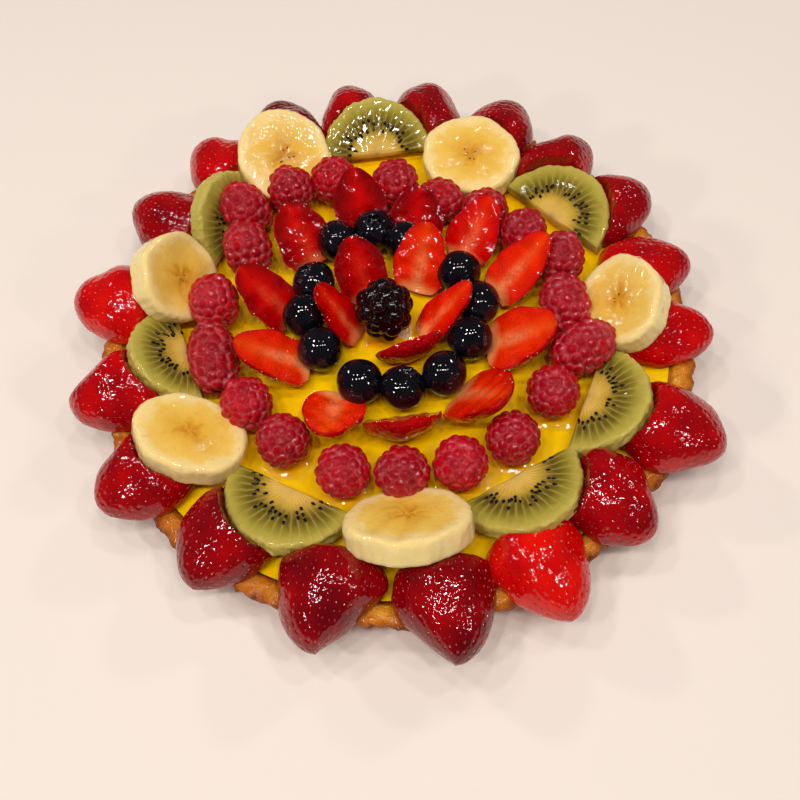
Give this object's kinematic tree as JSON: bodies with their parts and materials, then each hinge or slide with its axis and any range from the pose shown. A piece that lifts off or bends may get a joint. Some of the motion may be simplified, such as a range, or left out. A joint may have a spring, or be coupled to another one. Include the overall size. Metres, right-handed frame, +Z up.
{
  "type": "fruit tart",
  "caption": "Round fruit tart: a baked crust shell filled with custard and covered with rings of glazed strawberries, kiwi, banana, raspberries and blueberries.",
  "frame": {"origin": "middle of the crust's flat base", "axes": "+Z up out of the fruit, +X towards the right and +Y towards the back of the tart"},
  "size_m": [0.2513, 0.2622, 0.0531],
  "materials": {
    "baked_crust": "baked golden brown, dull with a thin glaze",
    "custard": "bright yellow, wet gloss",
    "strawberry_skin": "glazed red skin with seeds",
    "strawberry_flesh": "glazed cut flesh",
    "kiwi": "glazed green flesh with a pale core",
    "banana": "glazed cream flesh",
    "raspberry": "glazed crimson beads",
    "blueberry": "glazed blue-black skin",
    "dark_berry": "glazed purple-black beads"
  },
  "bodies": {
    "root": {"crust": "baked_crust", "custard": "custard", "rim_strawberry_01": "strawberry_skin", "rim_strawberry_02": "strawberry_skin", "rim_strawberry_03": "strawberry_skin", "rim_strawberry_04": "strawberry_skin", "rim_strawberry_05": "strawberry_skin", "rim_strawberry_06": "strawberry_skin", "rim_strawberry_07": "strawberry_skin", "rim_strawberry_08": "strawberry_skin", "rim_strawberry_09": "strawberry_skin", "rim_strawberry_10": "strawberry_skin", "rim_strawberry_11": "strawberry_skin", "rim_strawberry_12": "strawberry_skin", "rim_strawberry_13": "strawberry_skin", "rim_strawberry_14": "strawberry_skin", "rim_strawberry_15": "strawberry_skin", "rim_strawberry_16": "strawberry_skin", "rim_strawberry_17": "strawberry_skin", "rim_strawberry_18": "strawberry_skin", "rim_strawberry_19": "strawberry_skin", "kiwi_slice_1": "kiwi", "kiwi_slice_2": "kiwi", "kiwi_slice_3": "kiwi", "kiwi_slice_4": "kiwi", "kiwi_slice_5": "kiwi", "kiwi_slice_6": "kiwi", "kiwi_slice_7": "kiwi", "banana_slice_1": "banana", "banana_slice_2": "banana", "banana_slice_3": "banana", "banana_slice_4": "banana", "banana_slice_5": "banana", "banana_slice_6": "banana", "raspberry_run_1": "raspberry", "raspberry_run_2": "raspberry", "raspberry_run_3": "raspberry", "raspberry_run_4": "raspberry", "raspberry_run_5": "raspberry", "ring_petal_1": "strawberry_flesh", "ring_petal_2": "strawberry_flesh", "ring_petal_3": "strawberry_flesh", "ring_petal_4": "strawberry_flesh", "ring_petal_5": "strawberry_flesh", "ring_petal_6": "strawberry_flesh", "ring_petal_7": "strawberry_flesh", "ring_petal_8": "strawberry_flesh", "ring_petal_9": "strawberry_flesh", "ring_petal_10": "strawberry_flesh", "ring_petal_11": "strawberry_flesh", "blueberry_run_1": "blueberry", "blueberry_run_2": "blueberry", "blueberry_run_3": "blueberry", "blueberry_run_4": "blueberry", "inner_petal_1": "strawberry_flesh", "inner_petal_2": "strawberry_flesh", "inner_petal_3": "strawberry_flesh", "inner_petal_4": "strawberry_flesh", "inner_petal_5": "strawberry_flesh", "centre_bramble": "dark_berry"}
  },
  "joints": []
}
